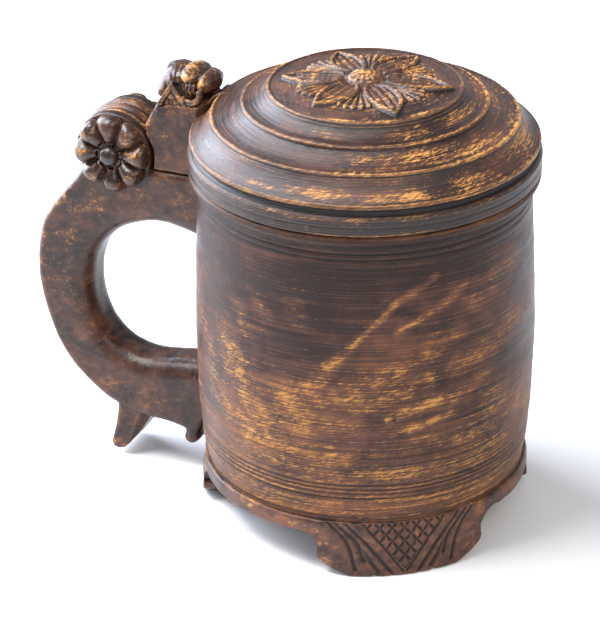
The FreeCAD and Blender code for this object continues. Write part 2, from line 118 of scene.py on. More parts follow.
def spline(points, count):
    """Smooth curve through the points, as count + 1 points."""
    p = np.array(points, float)
    t = np.concatenate([[0], np.cumsum(np.linalg.norm(np.diff(p, axis=0), axis=1))])
    n = len(p)
    slope = np.zeros_like(p)
    for i in range(n):
        a, b = max(i - 1, 0), min(i + 1, n - 1)
        slope[i] = (p[b] - p[a]) / (t[b] - t[a])
    out = []
    for s in np.linspace(0, t[-1], count + 1):
        i = min(np.searchsorted(t, s, side="right") - 1, n - 2)
        h = t[i + 1] - t[i]
        u = (s - t[i]) / h
        out.append((2 * u**3 - 3 * u**2 + 1) * p[i] + (u**3 - 2 * u**2 + u) * h * slope[i]
                   + (3 * u**2 - 2 * u**3) * p[i + 1] + (u**3 - u**2) * h * slope[i + 1])
    return np.array(out)


def to_segment(x, z, start, end):
    """Squared distance in a plane to the straight line between two points."""
    ex, ez = end[0] - start[0], end[1] - start[1]
    px, pz = x - start[0], z - start[1]
    t = np.clip((px * ex + pz * ez) / max(ex * ex + ez * ez, 1e-9), 0, 1)
    return (px - t * ex) ** 2 + (pz - t * ez) ** 2


def smooth_step(low, high, value):
    f = np.clip((value - low) / (high - low), 0, 1)
    return f * f * (3 - 2 * f)


def ripple(seed, size, *coords):
    """Gentle unevenness between -1 and 1, with bumps about size across."""
    rng = np.random.default_rng(seed)
    total = 0.0
    for _ in range(7):
        push = rng.normal(size=len(coords))
        push *= 2 * math.pi / (size * np.linalg.norm(push) * rng.uniform(0.7, 1.6))
        total = total + np.sin(sum(c * k for c, k in zip(coords, push)) + rng.uniform(0, 6.3))
    return total / 3.5


# ---- meshes

def grid_quads(rows, cols, closed):
    """Faces of a grid whose columns run round; closed joins the last row to the first."""
    r = np.arange(rows if closed else rows - 1)
    c = np.arange(cols)
    r, c = np.meshgrid(r, c, indexing="ij")
    r2, c2 = (r + 1) % rows, (c + 1) % cols
    corners = [r * cols + c, r * cols + c2, r2 * cols + c2, r2 * cols + c]
    return np.stack(corners, -1).reshape(-1, 4)


def relief(points, quads, normals, reach):
    """How proud each point stands of its surroundings, in mm; negative in a hollow."""
    edges = quads[:, [0, 1, 1, 2, 2, 3, 3, 0]].reshape(-1, 2)
    edges = np.unique(np.sort(edges, axis=1), axis=0)
    edges = edges[edges[:, 0] != edges[:, 1]]
    a, b = np.concatenate([edges, edges[:, ::-1]]).T
    lengths = np.linalg.norm(points[a] - points[b], axis=1)
    weight = 1.0 / np.maximum(lengths, 0.05)
    total = np.bincount(a, weight, len(points))
    total[total == 0] = 1.0
    rounds = int(min(40, max(2, (reach / np.median(lengths)) ** 2)))
    soft = points.copy()
    for _ in range(rounds):
        pulled = [np.bincount(a, weight * soft[b, k], len(points)) / total for k in range(3)]
        soft = 0.3 * soft + 0.7 * np.stack(pulled, -1)
    return ((points - soft) * normals).sum(1)


def facing_out(points, quads):
    """Quads turned so that they face outward. A triangle has -1 as its last corner."""
    full = np.where(quads < 0, quads[:, :1], quads)
    a, b, c, d = (points[full[:, k]] for k in range(4))
    if (np.cross(c - a, d - b) * (a + b + c + d)).sum() >= 0:
        return quads
    return np.where((quads[:, 3] < 0)[:, None], quads[:, [0, 2, 1, 3]], quads[:, ::-1])


def build_mesh(name, points, quads):
    mesh = bpy.data.meshes.new(name)
    mesh.vertices.add(len(points))
    mesh.vertices.foreach_set("co", (points * 0.001 + [AXIS_X, 0, 0]).astype(np.float32).ravel())
    corners = quads.ravel()
    corners = corners[corners >= 0]
    sizes = np.where(quads[:, 3] < 0, 3, 4)
    mesh.loops.add(len(corners))
    mesh.loops.foreach_set("vertex_index", corners.astype(np.int32))
    mesh.polygons.add(len(quads))
    mesh.polygons.foreach_set("loop_start", (np.cumsum(sizes) - sizes).astype(np.int32))
    mesh.update(calc_edges=True)
    mesh.shade_smooth()
    return mesh


def add_attribute(mesh, name, values):
    layer = mesh.attributes.new(name, "FLOAT", "POINT")
    layer.data.foreach_set("value", values.ravel().astype(np.float32))


def new_piece(name, points, quads, body, material, nodes, wear_and_painted_shade):
    """Mesh object from points in mm, riding on a CAD body and standing for its CAD nodes.

    Its attributes are relief over a short and a long reach, and a wear value for each point: how worn it is,
    with values below zero darkening it as painted shade."""
    points = points.reshape(-1, 3)
    quads = facing_out(points, quads)
    mesh = build_mesh(name, points, quads)
    normals = np.zeros(len(points) * 3, np.float32)
    mesh.vertex_normals.foreach_get("vector", normals)
    full = np.where(quads < 0, quads[:, :1], quads)
    for label, reach in (("fine", 0.9), ("broad", 3.0)):
        add_attribute(mesh, label, relief(points, full, normals.reshape(-1, 3), reach))
    add_attribute(mesh, "wear_and_painted_shade", wear_and_painted_shade)
    mesh.materials.append(material)
    obj = bpy.data.objects.new(name, mesh)
    bpy.context.scene.collection.objects.link(obj)
    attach(obj, body)
    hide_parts(*nodes)


def skin(field, low, high, step):
    """Points and quads on the surface where field(x, y, z) is 0, inside being negative."""
    axes = [np.arange(a, b + step, step) for a, b in zip(low, high)]
    x, y, z = np.meshgrid(*axes, indexing="ij", sparse=True)
    f = np.broadcast_to(field(x, y, z), np.broadcast(x, y, z).shape).astype(np.float32)
    nx, ny, nz = f.shape

    def part(values, c):
        return values[c[0]:nx - 1 + c[0], c[1]:ny - 1 + c[1], c[2]:nz - 1 + c[2]]

    solid = f < 0
    corner_list = list(np.ndindex(2, 2, 2))
    filled = sum(part(solid, c).astype(np.int8) for c in corner_list)
    active = (filled > 0) & (filled < 8)
    cells = np.argwhere(active)
    middle = np.zeros((len(cells), 3))
    hits = np.zeros(len(cells))
    for c in corner_list:
        for axis in range(3):
            if c[axis]:
                continue
            d = list(c)
            d[axis] = 1
            f0, f1 = part(f, c)[active], part(f, tuple(d))[active]
            cross = (f0 < 0) != (f1 < 0)
            where = np.tile(np.array(c, float), (len(cells), 1))
            where[:, axis] += np.where(cross, f0 / np.where(cross, f0 - f1, 1), 0)
            middle[cross] += where[cross]
            hits += cross
    points = (cells + middle / hits[:, None]) * step + np.array(low)
    index = np.full(active.shape, -1)
    index[active] = np.arange(len(cells))
    quads = []
    for axis in range(3):
        u, v = (axis + 1) % 3, (axis + 2) % 3
        change = np.diff(solid.astype(int), axis=axis)
        at = np.argwhere(change)
        at = at[(at[:, u] > 0) & (at[:, v] > 0) & (at[:, u] < f.shape[u] - 1) & (at[:, v] < f.shape[v] - 1)]
        sign = change[tuple(at.T)]
        around = []
        for du, dv in ((1, 1), (0, 1), (0, 0), (1, 0)):
            cell = at.copy()
            cell[:, u] -= du
            cell[:, v] -= dv
            around.append(index[tuple(cell.T)])
        quad = np.stack(around, -1)
        quad[sign > 0] = quad[sign > 0][:, ::-1]
        quads.append(quad)
    quads = np.concatenate(quads)
    return points, quads[(quads >= 0).all(1)]


# ---- solid shapes

def ball(x, y, z, centre, radii):
    """Rough signed distance to an ellipsoid."""
    u, v, w = x - centre[0], y - centre[1], z - centre[2]
    inner = np.sqrt((u / radii[0]) ** 2 + (v / radii[1]) ** 2 + (w / radii[2]) ** 2) + 1e-6
    outer = np.sqrt((u / radii[0] ** 2) ** 2 + (v / radii[1] ** 2) ** 2 + (w / radii[2] ** 2) ** 2) + 1e-6
    return inner * (inner - 1) / outer


def tapered(x, y, z, a, b, ra, rb):
    """Rounded bar from a to b whose radius runs from ra to rb."""
    ab = np.array(b, float) - np.array(a, float)
    u, v, w = x - a[0], y - a[1], z - a[2]
    t = np.clip((u * ab[0] + v * ab[1] + w * ab[2]) / (ab @ ab), 0, 1)
    away = np.sqrt((u - t * ab[0]) ** 2 + (v - t * ab[1]) ** 2 + (w - t * ab[2]) ** 2)
    return away - (ra + t * (rb - ra))


def blend(a, b, soft):
    """Two solids joined with a fillet about soft wide."""
    h = np.clip(0.5 + 0.5 * (b - a) / soft, 0, 1)
    return b + (a - b) * h - soft * h * (1 - h)


def carve(a, b, soft):
    """Solid a with b cut away, the cut's edge softened."""
    return -blend(-a, b, soft)


def flat_distance(x, z, outline):
    """Signed distance in the XZ plane to a closed outline, negative inside."""
    best = np.full(np.broadcast(x, z).shape, 1e9)
    inside = np.zeros(best.shape, bool)
    for (ax, az), (bx, bz) in zip(outline, np.roll(outline, -1, axis=0)):
        best = np.minimum(best, to_segment(x, z, (ax, az), (bx, bz)))
        if abs(bz - az) > 1e-9:
            inside ^= ((az > z) != (bz > z)) & (x < ax + (z - az) * (bx - ax) / (bz - az))
    return np.where(inside, -1, 1) * np.sqrt(best)


def thick(flat, y, half, edge):
    """Flat outline made 2 * half thick in Y, with its edges rounded by edge."""
    a, b = flat + edge, np.abs(y) - half + edge
    return np.sqrt(np.maximum(a, 0) ** 2 + np.maximum(b, 0) ** 2) + np.minimum(np.maximum(a, b), 0) - edge


# ---- vessel

def vessel_profile():
    """Section of the wall: up the outside, then down the bore past the board's groove."""
    outer = path([
        (SPIGOT_R, SPIGOT_Z), (SPIGOT_R, SEAT_Z + 0.1), (83.0, SEAT_Z + 0.1), ((82.8, 32.0), (83.1, 34.0)),
        ((84.1, 38.5), (84.9, 44.0)), ((86.1, 58.0), (86.7, 72.0)), ((87.2, 98.0), (86.9, 121.0)),
        ((86.1, 146.0), (84.8, 170.0)),
        (84.8, 184.0), ((85.7, 184.6), (86.2, 185.6)), ((88.6, 187.2), (88.2, 190.2)), (87.4, RIM_Z),
    ], 0.8)
    inner = path([
        (78.5, RIM_Z), ((77.8, 190.6), (BORE_R, 189.9)), (BORE_R, 44.7), (79.9, 43.0), (79.9, 36.5),
        (BORE_R, 35.3), (BORE_R, 33.5), (LEDGE_R, 33.5), (LEDGE_R, SPIGOT_Z),
    ], 3.0)
    return np.concatenate([outer, inner])


def groove(z, centre, depth, width):
    return depth * np.exp(-((z - centre) / width) ** 2)


def vessel_strokes():
    """Worn streaks on the outside: (turn, height) of both ends, width in mm, strength.

    The turn is in degrees from the front."""
    return [
        (-19, 106, -12, 118, 5.5, 0.70), (-12, 118, -4, 132, 2.8, 0.70), (-4, 132, 11, 155, 1.6, 0.85),
        (11, 155, 24, 166, 1.8, 0.45), (10, 138, 22, 147, 1.6, 0.70), (24, 148, 34, 156, 2.2, 0.5),
        (-10, 104, 16, 122, 8.0, 0.55), (4, 112, 26, 128, 7.0, 0.60), (14, 122, 32, 134, 4.4, 0.5),
        (8, 92, 26, 99, 3.4, 0.95), (-2, 97, 20, 110, 6.0, 0.66), (9, 82, 29, 90, 2.6, 0.80),
        (30, 97, 44, 106, 4.4, 0.55), (-27, 100, -20, 84, 10.0, 0.72), (-15, 100, -2, 104, 5.5, 0.7),
        (-52, 116, -38, 84, 13.0, 0.62), (-34, 74, -8, 68, 8.5, 0.66), (-46, 138, -44, 128, 6.0, 0.42),
        (-60, 86, -30, 64, 12.0, 0.55), (-24, 150, -22, 144, 5.0, 0.35), (-37, 146, -35, 140, 5.0, 0.38),
        (34, 72, 54, 64, 10.0, 0.62), (48, 86, 74, 68, 13.0, 0.55), (-40, 62, -6, 58, 4.2, 0.62),
        (-70, 118, -60, 90, 13.0, 0.45), (38, 148, 60, 160, 6.0, 0.40), (-10, 59, 22, 61, 3.6, 0.6),
        (30, 114, 60, 128, 8.0, 0.45), (18, 78, 40, 72, 5.0, 0.5), (-30, 84, -4, 88, 6.0, 0.5),
    ]


def stroke_wear_and_shade(turn, z):
    """Strength of worn streaks at each point, laid over a painted gradient of light and shade. More streaks
    are scattered over the far side.
    """
    rng = np.random.default_rng(11)
    per_degree = 1.5
    made = vessel_strokes()
    for _ in range(26):
        t, h = rng.uniform(85, 275), rng.uniform(58, 160)
        run, rise = rng.uniform(8, 26), rng.uniform(-4, 20)
        made.append((t, h, t + run, h + rise, rng.uniform(2, 9), rng.uniform(0.3, 0.8)))
    ragged = 1 + 0.35 * ripple(91, 9.0, turn * per_degree, z) + 0.25 * ripple(92, 3.5, turn * per_degree, z)
    total = np.zeros(np.broadcast(turn, z).shape)
    for t0, z0, t1, z1, width, strength in made:
        u = ((turn - t0 + 180) % 360 - 180) * per_degree
        away = to_segment(u, z, (0.0, z0), ((t1 - t0) * per_degree, z1))
        total = np.maximum(total, strength * ragged * np.exp(-away / width**2))
    # Painted light and shade: the wall is lighter toward the bottom and darker toward the top, in the shade
    # under the lid.
    tone = 0.42 * smooth_step(110, 40, z) - 0.60 * smooth_step(128, 172, z)
    return np.where(total > 0.08, np.maximum(total, tone), tone)


def make_vessel(wood):
    profile = vessel_profile()
    turns = 330
    angle = np.linspace(0, 2 * math.pi, turns, endpoint=False)[None, :]
    r, z = profile[:, 0][:, None], profile[:, 1][:, None]
    outside = (r > 82.5) & (z > SEAT_Z + 2) & (z < 189)
    cut = sum(groove(z, height, depth, 0.5) for height, depth in LOW_GROOVES)
    cut = cut + sum(groove(z, height, 0.42, 0.55) for height in HIGH_GROOVES) + groove(z, 172.6, 0.15, 0.5)
    cut = cut + 0.10 * ripple(3, 9.0, z, 3.0 * angle)
    cut = cut + 0.22 * ripple(5, 60.0, z, 85 * np.cos(angle), 85 * np.sin(angle))
    r = np.where(outside, r - cut, r + 0 * angle)
    points = np.stack([r * np.cos(angle), r * np.sin(angle), z + 0 * angle], -1)
    turn = np.degrees(angle) - FRONT
    wear_and_painted_shade = np.where(outside, stroke_wear_and_shade(turn, z), 0)
    quads = grid_quads(len(profile), turns, True)
    new_piece("turned_wall", points, quads, "vessel", wood, ["vessel_wall"], wear_and_painted_shade)


# ---- foot ring

def foot_edge(reach):
    """Lower edge from a foot's centre (turn 0) to the middle of the next gap."""
    def at(turn, z):
        return turn * FOOT_ARC, z

    edge = path([at(0.0, 0.0), at(18.8, 0.0), (at(24.5, 3.2), at(29.0, 7.0)), (at(30.2, 9.4), at(29.2, 13.5)),
                 (at(31.0, 18.8), at(40.0, ARCH_Z)), at(reach, ARCH_Z)], 0.5)
    edge[:, 0] /= FOOT_ARC
    notch = 1.7 * np.clip(1 - np.abs(edge[:, 0] - 10.2) / 1.2, 0, 1)
    edge[:, 1] += np.where(edge[:, 0] < 18, notch, 0)
    return edge


def curve_distance(u, z, points):
    """Distance in mm from (u, z) to a smooth curve through points given as (turn, height)."""
    line = spline([(p[0] * FOOT_ARC, p[1]) for p in points], 14)
    pieces = [to_segment(u, z, start, end) for start, end in zip(line[:-1], line[1:])]
    return np.sqrt(np.minimum.reduce(pieces))


def foot_carving(turn, z):
    """Depth of the carving in mm at a turn in degrees from the foot's centre."""
    u = np.abs(turn) * FOOT_ARC
    side = turn * FOOT_ARC
    top, low, half = SEAT_Z - 0.6, 3.2, 14.4 * FOOT_ARC
    slope = (top - low) / half
    steep = math.hypot(1, slope)
    within = smooth_step(-0.3, 0.5, (z - low) / steep - u * slope / steep)
    pitch, groove_half = 5.6, 1.25
    lattice = np.zeros(np.broadcast(turn, z).shape)
    for way in (-1, 1):
        across = (z - low - way * side * slope) / steep
        off = np.abs((across / pitch * 1.12 + 0.5) % 1 - 0.5) * pitch
        lattice = np.maximum(lattice, groove_half * np.clip(1 - off / groove_half, 0, 1))
    depth = within * (lattice + 0.3)
    ribs = (
        ([(14.6, 29.8), (7.4, 16.5), (0.6, 2.2)], 1.1, 0.9),
        ([(20.8, 29.6), (12.8, 17.5), (4.6, 1.2)], 1.3, 1.2),
        ([(24.0, 29.4), (16.2, 17.5), (9.4, 3.0)], 1.3, 1.5),
        ([(27.2, 29.6), (20.6, 20.0), (17.2, 4.0)], 1.5, 1.3),
    )
    for points, deep, wide in ribs:
        d = curve_distance(u, z, points)
        depth = np.maximum(depth, deep * np.exp(-(d / wide) ** 2))
    sunk = curve_distance(u, z, [(22.6, 27.0), (16.8, 19.0), (14.2, 9.0)])
    depth = np.maximum(depth, 1.6 * np.exp(-(sunk / 1.7) ** 2))
    return depth * smooth_step(29.9, 29.2, z)


def foot_skirt(z):
    """Outer radius of the foot ring: a rounded lip at the top, then a slow flare to the floor."""
    lip = 83.4 + 1.75 * np.sqrt(1 - np.clip((z - LIP_Z) / 3.5, 0, 1) ** 2)
    return np.where(z > LIP_Z, lip, 85.15 + 1.45 * np.clip((LIP_Z - z) / LIP_Z, 0, 1) ** 1.3)


def foot_columns():
    """Columns round the ring: the low edge's turn and height, the top edge's turn, the foot's turn."""
    front, side = FRONT_FOOT, (180 - FRONT_FOOT) / 2
    columns = []
    for centre, before, after in ((front, front, side), (180.0, side, side), (360 - front, side, front)):
        for way, reach in ((-1, before), (1, after)):
            edge = foot_edge(reach)
            steps = np.hypot(np.diff(edge[:, 0]) * FOOT_ARC, np.diff(edge[:, 1]))
            run = np.concatenate([[0], np.cumsum(steps)])
            top = reach * run / run[-1]
            rows = np.stack([edge[:, 0] * way, edge[:, 1], top * way, np.full(len(edge), centre)], -1)
            columns.append(rows[::-1][:-1] if way < 0 else rows[:-1])
    return np.concatenate(columns).T


def make_foot_ring(wood):
    low_turn, low_z, top_turn, centre = foot_columns()
    f = np.linspace(0, 1, 56)[:, None]
    turn = low_turn + (top_turn - low_turn) * f
    z = low_z + (SEAT_Z - low_z) * f
    skirt = foot_skirt(z)
    near_edge = f * np.hypot(SEAT_Z - low_z, (top_turn - low_turn) * FOOT_ARC)
    edge_r = 1.3
    rounding = edge_r * (1 - np.sqrt(1 - (1 - np.clip(near_edge / edge_r, 0, 1)) ** 2))
    r = skirt - foot_carving(turn, z) * smooth_step(0.0, 1.2, near_edge) - rounding
    r = r + 0.15 * ripple(8, 14.0, turn + centre, z)
    inner_z = low_z + (np.maximum(22.0, low_z) - low_z) * np.linspace(0, 1, 7)[:, None]
    inner_r = 79.5 - 4.0 * np.clip(inner_z / 22.0, 0, 1) ** 0.7
    under_r = r[0] + (inner_r[0] - r[0]) * np.linspace(0, 1, 6)[1:-1, None]
    spigot = np.full((1, len(low_z)), SPIGOT_R)
    rings = [(r[::-1], turn[::-1], z[::-1]), (under_r, low_turn + 0 * under_r, low_z + 0 * under_r),
             (inner_r, low_turn + 0 * inner_r, inner_z), (spigot, low_turn[None], inner_z[-1:]),
             (spigot, top_turn[None], np.full((1, len(low_z)), SEAT_Z))]
    r, turn, z = (np.concatenate([ring[k] for ring in rings]) for k in range(3))
    angle = np.radians(turn + centre)
    points = np.stack([r * np.cos(angle), r * np.sin(angle), z], -1)
    quads = grid_quads(len(r), len(low_z), True)
    worn = 0.45 * smooth_step(21, 27, np.abs(turn)) * smooth_step(-0.2, 0.6, ripple(21, 11.0, turn, z))
    new_piece("carved_feet", points, quads, "vessel", wood, ["foot_ring"], worn)


# ---- lid

def lid_profile():
    """Section of the lid: its hollow underside, then the stepped top as far as the flower field."""
    under = path([
        (0.6, 224.0), ((40.0, 220.5), (62.0, 211.0)), ((69.5, 205.0), (71.0, 197.0)),
        (71.0, LID_LOW - 4.2), (71.8, LID_LOW - 5.0), (75.2, LID_LOW - 5.0), (PLUG_R, LID_LOW - 4.0),
        (PLUG_R, LID_LOW), (87.2, LID_LOW)], 2.6)
    top = path([
        (87.5, LID_LOW), ((88.7, LID_LOW + 0.4), (LID_R, LID_LOW + 1.6)), (LID_R, 195.2), (88.75, 195.7),
        (88.8, 196.1), (LID_R, 196.6), (LID_R, 199.8),
        (88.0, 201.2), (86.7, 201.7), ((86.3, 203.2), (87.4, 204.8)), ((88.2, 206.3), (86.9, 207.6)),
        ((81.4, 212.0), (77.7, 217.4)), ((77.6, 218.4), (76.6, 219.1)), (75.4, 219.0),
        ((68.0, 220.8), (62.3, 224.6)), ((62.1, 225.9), (61.2, 226.7)), (60.0, 226.6),
        ((54.5, 228.0), (50.5, 231.0)), (50.2, 231.8), (49.4, 232.2),
        ((49.2, 233.2), (48.2, 233.7)), (FIELD_R, FIELD_Z)], 0.5)
    return under, top


def petal_relief(x, y, reach):
    """Height in mm of one pointed petal along +X from the flower's centre, and where it lies."""
    f = np.clip((x - 6.5) / (reach - 6.5), 0, 1)
    bend = y - 1.2 * np.sin(f * math.pi)
    half = 9.2 * np.sin(math.pi * f**0.95) ** 0.78 * (1 - 0.12 * f) + 0.9 * (1 - f)
    inside = np.where((x > 6) & (x < reach), half - np.abs(bend), -9.0)
    body = smooth_step(-0.45, 0.75, inside)
    border = 0.72 * np.exp(-((inside - 1.6) / 1.2) ** 2) * smooth_step(8, 13, x)
    rib = 0.34 * np.cos(bend * 2 * math.pi / 4.0) * smooth_step(2.8, 4.0, inside)
    hollow = 0.55 * smooth_step(2.0, 3.6, inside)
    return body * (1.35 + 0.1 * f + border + rib - hollow), body


def fan_relief(x, y, reach):
    """Height in mm of one ribbed fan that lies along +X between two petals."""
    far = np.hypot(x - 14.0, y)
    lean = np.degrees(np.arctan2(y, x - 14.0))
    lobes = np.cos(np.radians(lean * 360 / 12.0))
    edge = reach - 14.0 + 0.9 * lobes - 0.0028 * lean**2
    inside = np.minimum(edge - far, (33.0 - np.abs(lean)) * 0.4)
    inside = np.where(x > 14.5, inside, -9.0)
    body = smooth_step(-0.4, 0.7, inside)
    ribs = 0.45 * lobes * smooth_step(3, 9, far)
    return body * (0.3 + 0.75 * smooth_step(4, 16, far) + ribs)


def turned_by(x, y, degrees):
    """Coordinates in a frame turned round Z."""
    a = math.radians(degrees)
    return x * math.cos(a) + y * math.sin(a), y * math.cos(a) - x * math.sin(a)


def flower_relief(x, y):
    """Height in mm of the carved flower: fans, petals over them, and a fluted boss."""
    reach = np.hypot(x, y)
    height = np.zeros(np.broadcast(x, y).shape)
    petal_lengths = (44.5, 42.5, 41.5, 42.5, 39.5, 44.0)
    apart = 360.0 / PETAL_COUNT
    for k in range(PETAL_COUNT):
        u, v = turned_by(x, y, PETAL_TURN + apart * (k + 0.5))
        height = np.maximum(height, fan_relief(u, v, 34.5))
    for k in range(PETAL_COUNT):
        u, v = turned_by(x, y, PETAL_TURN + apart * k)
        leaf, cover = petal_relief(u, v, petal_lengths[k])
        height = height * (1 - cover) + leaf
    boss_r = 9.0
    flutes = np.cos(14 * np.arctan2(y, x))
    dome = np.clip(1 - (reach / boss_r) ** 2, 0, 1) ** 0.62
    boss = 4.7 * dome * (1 + 0.13 * flutes * smooth_step(2.5, 7, reach))
    moat = -0.8 * np.exp(-((reach - 10.2) / 1.1) ** 2)
    height = np.maximum(height + moat, np.where(reach < boss_r, boss, -9))
    return height + 0.09 * ripple(31, 9.0, x, y) + 0.05 * ripple(32, 2.6, x, y)


def lid_wear_and_shade(turn, radius, height):
    """Worn gold patches on the lid, as (turn, radius, spread round, spread in, strength), and painted shade
    below the bevel.
    """
    total = np.zeros(len(turn))
    spots = (
        (-14, 83.5, 13, 2.2, 0.85), (12, 84, 15, 2.4, 1.05), (38, 83, 12, 3.4, 0.9), (-36, 84, 8, 1.5, 0.6),
        (-14, 46.5, 11, 1.6, 1.1), (12, 47.5, 12, 1.6, 1.1), (36, 46, 12, 1.8, 0.95), (0, 66, 10, 2.0, 0.6),
        (24, 66, 20, 5.0, 0.8), (48, 72, 20, 6.0, 0.85), (74, 80, 22, 7.0, 0.75), (22, 55, 14, 3.0, 0.75),
        (60, 54, 18, 3.0, 0.8), (-20, 55, 10, 2.0, 0.55), (-2, 75, 14, 4.0, 0.55), (100, 62, 22, 6.0, 0.7),
        (140, 70, 30, 6.0, 0.6), (-140, 60, 30, 6.0, 0.6), (-100, 80, 16, 4.0, 0.5), (20, 30, 26, 9.0, 0.6),
        (0, 2, 900, 7.0, 0.9), (-30, 34, 30, 6.0, 0.5), (0, 28, 900, 12.0, 0.50),
    )
    for t, r, across, deep, strength in spots:
        away = ((turn - t + 180) % 360 - 180) / across
        total = np.maximum(total, strength * np.exp(-away**2 - ((radius - r) / deep) ** 2))
    # Painted shade: the side band and rim below the bevel are darkened.
    return np.where(height > 205, total, -0.5)


def make_lid(wood):
    under, top = lid_profile()
    turns = 480
    angle = np.linspace(0, 2 * math.pi, turns, endpoint=False)[None, :]
    outline = np.concatenate([under, top])
    r, z = outline[:, 0][:, None] + 0 * angle, outline[:, 1][:, None] + 0 * angle
    over = (np.arange(len(outline)) >= len(under))[:, None]
    wave = 0.12 * ripple(13, 10.0, 2.0 * z, 30 * np.cos(angle), 30 * np.sin(angle))
    z = z + np.where(over & (z > 207.5), wave, 0)
    field_r = np.linspace(46.7, 0.5, 100)[:, None] + 0 * angle
    x, y = field_r * np.cos(angle), field_r * np.sin(angle)
    field_z = FIELD_Z + FIELD_RISE * (1 - (field_r / FIELD_R) ** 2)
    field_z = field_z + flower_relief(x, y) * smooth_step(46.8, 45.8, field_r)
    r, z = np.concatenate([r, field_r]), np.concatenate([z, field_z])
    points = np.stack([r * np.cos(angle), r * np.sin(angle), z], -1)
    rows = len(r)
    quads = grid_quads(rows, turns, False)[:, ::-1]
    last = rows * turns
    ends = np.array([[0, 0, z[0, 0]], [0, 0, z[-1].mean() + 0.02]])
    points = np.concatenate([points.reshape(-1, 3), ends])
    c = np.arange(turns)
    d = (c + 1) % turns
    none, top_row = 0 * c, last - turns
    low = np.stack([c, none + last, d, none - 1], -1)
    high = np.stack([top_row + d, none + last + 1, top_row + c, none - 1], -1)
    quads = np.concatenate([quads, low, high])
    radius, height = np.hypot(points[:, 0], points[:, 1]), points[:, 2]
    turn = np.degrees(np.arctan2(points[:, 1], points[:, 0])) - FRONT
    new_piece("turned_lid", points, quads, "lid", wood, ["lid"],
              lid_wear_and_shade(turn, radius, height))


# ---- handle and hinge

def handle_outline():
    """Side view of the handle and of its finger hole."""
    outer = spline([(-151.0, 174.0), (-157.2, 163.0), (-167.0, 151.4), (-178.6, 134.0), (-183.1, 115.0),
                    (-183.1, 98.0), (-179.3, 79.0), (-172.3, 61.0), (-160.6, 45.6), (-146.8, 34.6),
                    (-138.5, 30.5)], 60)
    low = spline([(-121.0, 26.2), (-112.0, 25.9), (-104.5, 25.0), (-96.0, 24.0), (-90.0, 26.5),
                  (-86.0, 31.6)], 20)
    hole = spline([(-66.0, 63.4), (-80.0, 63.8), (-100.4, 61.6), (-125.4, 59.4), (-141.4, 65.5),
                   (-151.0, 78.5), (-155.3, 98.0), (-151.0, 118.4), (-140.2, 132.3), (-127.8, 139.2),
                   (-110.0, 142.8), (-88.8, 138.4), (-66.0, 129.0)], 80)
    start = np.array([(-80.0, SEAM_Z), (-115.0, SEAM_Z), HINGE])
    return np.concatenate([start, outer, low, [(-80.0, 34.0)]]), hole


def claw_outlines():
    """Side views of the long front claw and the short curled one behind it."""
    front = np.array([(-139.0, 38.0), (-138.2, 32.0), (-140.6, 17.6), (-143.4, 7.0), (-142.6, 4.4),
                      (-139.8, 3.2), (-136.2, 4.0), (-133.0, 7.2), (-126.0, 17.2), (-120.0, 27.5),
                      (-114.0, 38.0)])
    back = path([(-108.0, 34.0), (-104.5, 25.0), ((-100.4, 24.0), (-99.7, 20.6)),
                 ((-99.4, 15.4), (-95.8, 14.2)), ((-92.6, 16.4), (-90.8, 21.5)), (-86.0, 34.0)], 1.0)
    return front, back


def hinge_distance(x, z):
    return np.sqrt((x - HINGE[0]) ** 2 + (z - HINGE[1]) ** 2)


def handle_field(x, y, z):
    outer, hole = handle_outline()
    body = thick(flat_distance(x, z, outer), y, HALF_WIDTH, 4.2)
    body = np.maximum(body, thick(-flat_distance(x, z, hole) - 1.5, y, HALF_WIDTH, 11.0))
    front, back = claw_outlines()
    claw_half = 13.9
    claw = thick(flat_distance(x, z, front), y, claw_half, 1.3)
    beyond = (x + 133.7) * 0.932 - (z - 7.3) * 0.364
    claw = np.maximum(claw, (np.abs(y) + 1.28 * beyond - claw_half) / 1.62)
    curl = thick(flat_distance(x, z, back), y, 13.4, 4.0)
    body = blend(body, claw, 0.8)
    body = blend(body, curl, 2.0)
    ear = thick(hinge_distance(x, z) - EAR_R, y, HALF_WIDTH, 1.8)
    body = blend(body, ear, 0.8)
    slot = thick(hinge_distance(x, z) - KNUCKLE_R - 0.7, y, EAR_IN, 0.3)
    above_seam = np.minimum(z - SEAM_Z, hinge_distance(x, z) - EAR_R - 1.0)
    body = np.maximum(body, above_seam)
    body = carve(body, slot, 0.3)
    return body + 0.13 * ripple(41, 22.0, x, y, z) + 0.06 * ripple(42, 7.0, x, y, z)


def arm_outline():
    """Side view of the lid's arm: block, then a tongue that runs onto the lid."""
    start = math.asin((HINGE[1] - ARM_LOW) / ARM_SCOOP)
    first = (HINGE[0] + ARM_SCOOP * math.cos(start), ARM_LOW)
    second = (HINGE[0] + ARM_SCOOP * math.cos(0.55), HINGE[1] + ARM_SCOOP * math.sin(0.55))
    return path([
        (-84.0, ARM_LOW), first, ((HINGE[0] + ARM_SCOOP, HINGE[1] + 1.0), second),
        ((-115.6, 196.0), (-114.1, 199.6)), ((-111.2, 203.5), (-109.0, 208.6)), (-103.6, 209.2),
        (-92.3, 210.6), ((-85.6, 212.9), (-79.5, 218.2)), ((-76.0, 219.6), (-71.5, 219.4)),
        (-68.0, 216.0), (-84.0, 200.0)], 1.0)


